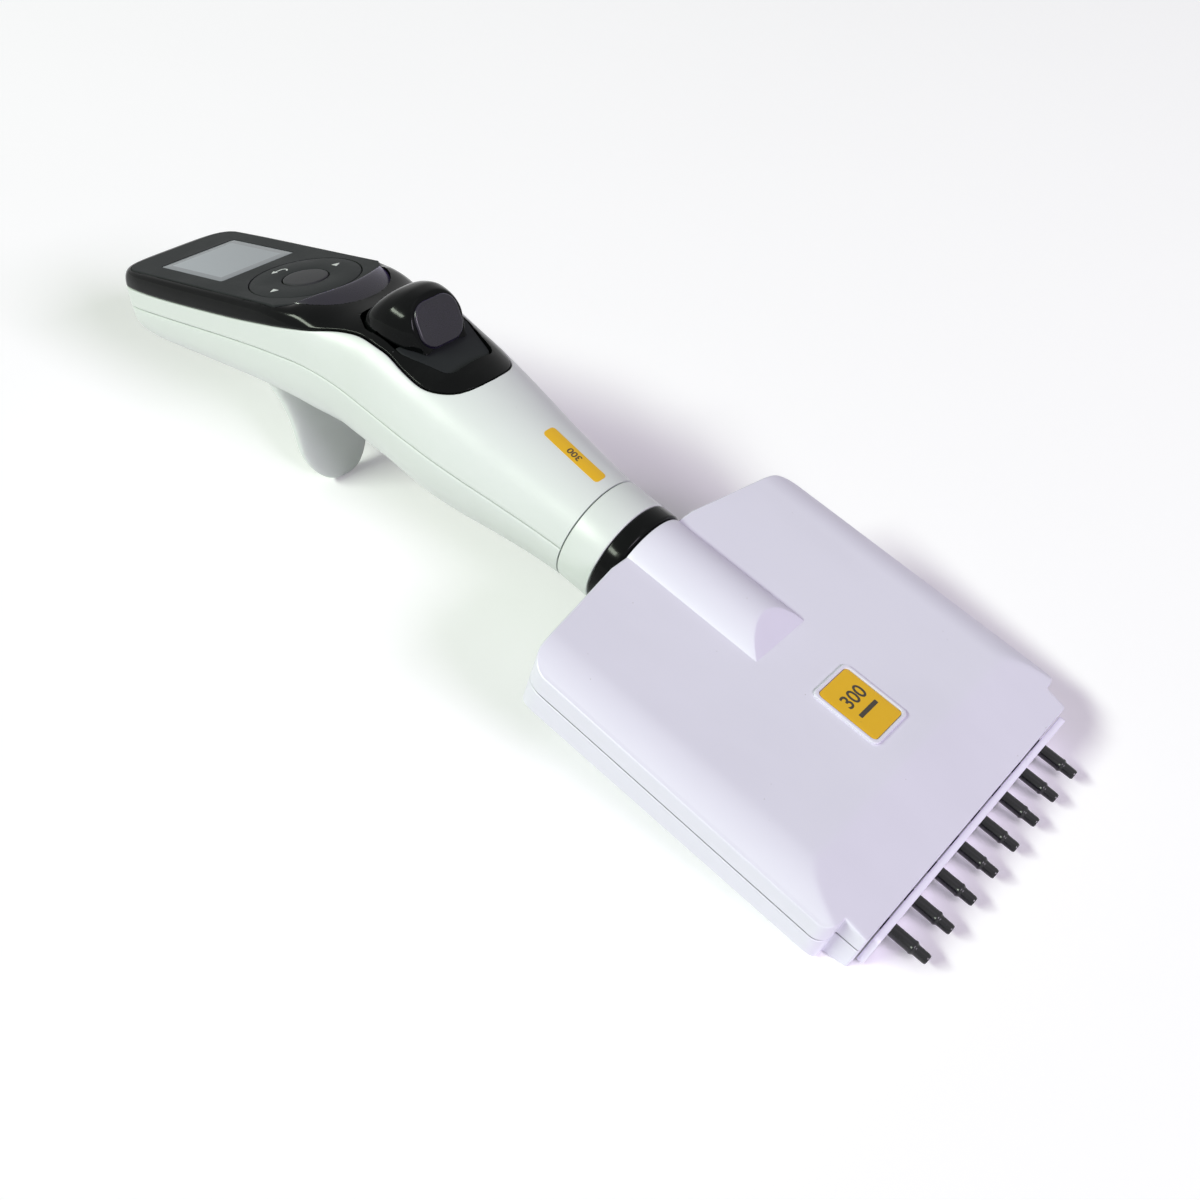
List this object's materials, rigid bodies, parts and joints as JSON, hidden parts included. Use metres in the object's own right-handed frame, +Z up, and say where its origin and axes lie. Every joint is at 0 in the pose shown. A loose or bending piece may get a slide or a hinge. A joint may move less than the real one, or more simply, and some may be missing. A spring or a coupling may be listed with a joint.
{
  "type": "electronic multichannel pipette",
  "caption": "Hand-held electronic multichannel pipette: bent handle with display, thumb lever and finger hook, and a broad swivelling head with a row of tip fittings.",
  "frame": {"origin": "middle of the bounding box on the bench that the pipette lies on", "axes": "+X along the tool towards the tip fittings, +Z up, display side up"},
  "size_m": [0.2568, 0.092, 0.0654],
  "materials": {
    "housing_white": "satin moulded",
    "gloss_black": "high gloss",
    "matte_grey": "fine matte film",
    "button_grey": "satin",
    "lcd_lens": "clear window over a pale display",
    "satin_purple_black": "satin with a purple sheen",
    "fitting_black": "satin",
    "plate_yellow": "printed plate",
    "steel": "turned",
    "contact_gold": "plated",
    "frame_grey": "moulded",
    "rubber": "matte",
    "circuit_board": "solder mask",
    "battery_wrap": "film wrap"
  },
  "bodies": {
    "handle": {"back_shell": "housing_white", "battery_cover": "housing_white", "battery_cover_screw": "steel", "battery_pack": "battery_wrap", "charge_contact_1": "contact_gold", "charge_contact_2": "contact_gold", "control_bezel": "gloss_black", "coupling_ring": "housing_white", "display_panel": "matte_grey", "drive_motor": "steel", "eject_spring": "steel", "front_shell": "housing_white", "keypad_mat": "rubber", "lcd_lens": "lcd_lens", "lcd_module": "steel", "lever_track": "gloss_black", "main_board": "circuit_board", "motor_cradle": "frame_grey", "volume_plate": "plate_yellow"},
    "head": {"swivel_collar": "gloss_black", "head_front_cover": "housing_white", "head_back_cover": "housing_white", "cylinder_block": "frame_grey", "seal_plate": "rubber", "guide_rod_1": "steel", "guide_rod_2": "steel", "number_plate_frame": "housing_white", "number_plate": "plate_yellow", "head_screw_1": "steel", "head_screw_2": "steel", "head_screw_3": "steel", "head_screw_4": "steel", "tip_fitting_1": "fitting_black", "tip_fitting_2": "fitting_black", "tip_fitting_3": "fitting_black", "tip_fitting_4": "fitting_black", "tip_fitting_5": "fitting_black", "tip_fitting_6": "fitting_black", "tip_fitting_7": "fitting_black", "tip_fitting_8": "fitting_black"},
    "lever": {"eject_lever": "gloss_black", "thumb_pad": "satin_purple_black", "eject_slider": "steel", "eject_sleeve": "steel"},
    "stripper": {"eject_crosshead": "steel", "stripper_plate": "housing_white"},
    "drive": {"drive_rod": "steel"},
    "pistons": {"piston_crosshead": "steel", "piston_1": "steel", "piston_2": "steel", "piston_3": "steel", "piston_4": "steel", "piston_5": "steel", "piston_6": "steel", "piston_7": "steel", "piston_8": "steel"},
    "screw": {"lead_screw": "steel"},
    "centre_key": {"ok_button": "button_grey"},
    "ring_key": {"touch_ring": "matte_grey"},
    "run_key": {"run_button": "satin_purple_black"}
  },
  "joints": [
    {"name": "head_swivel", "type": "hinge", "parent": "handle", "child": "head", "pos_m": [0.02884, 0, 0.02534], "axis": [0.975, 0, -0.2221], "continuous": true},
    {"name": "eject_lever_slide", "type": "slide", "parent": "handle", "child": "lever", "axis": [0.975, 0, -0.2221], "range_m": [0, 0.0065], "stiffness_N_per_m": 600, "springref_m": -0.004, "deforming": ["eject_spring"]},
    {"name": "stripper_slide", "type": "slide", "parent": "head", "child": "stripper", "axis": [0.975, 0, -0.2221], "range_m": [0, 0.0065]},
    {"name": "drive_slide", "type": "slide", "parent": "handle", "child": "drive", "axis": [-0.975, 0, 0.2221], "range_m": [0, 0.013]},
    {"name": "piston_slide", "type": "slide", "parent": "head", "child": "pistons", "axis": [-0.975, 0, 0.2221], "range_m": [0, 0.013]},
    {"name": "lead_screw_spin", "type": "hinge", "parent": "handle", "child": "screw", "pos_m": [0.00106, 0, 0.03167], "axis": [0.975, 0, -0.2221], "range_deg": [0, 1170.01]},
    {"name": "centre_key_press", "type": "slide", "parent": "handle", "child": "centre_key", "axis": [0.2142, 0, -0.9768], "range_m": [0, 0.0005], "stiffness_N_per_m": 800, "springref_m": -0.0005},
    {"name": "ring_key_press", "type": "slide", "parent": "handle", "child": "ring_key", "axis": [0.2142, 0, -0.9768], "range_m": [0, 0.0004], "stiffness_N_per_m": 800, "springref_m": -0.0005},
    {"name": "run_key_press", "type": "slide", "parent": "handle", "child": "run_key", "axis": [0.2142, 0, -0.9768], "range_m": [0, 0.0008], "stiffness_N_per_m": 800, "springref_m": -0.0005}
  ],
  "couplings": [
    {"joint": "stripper_slide", "follows": "eject_lever_slide", "ratio": 1},
    {"joint": "piston_slide", "follows": "drive_slide", "ratio": 1},
    {"joint": "lead_screw_spin", "follows": "drive_slide", "rad_per_m": 1570.8}
  ]
}
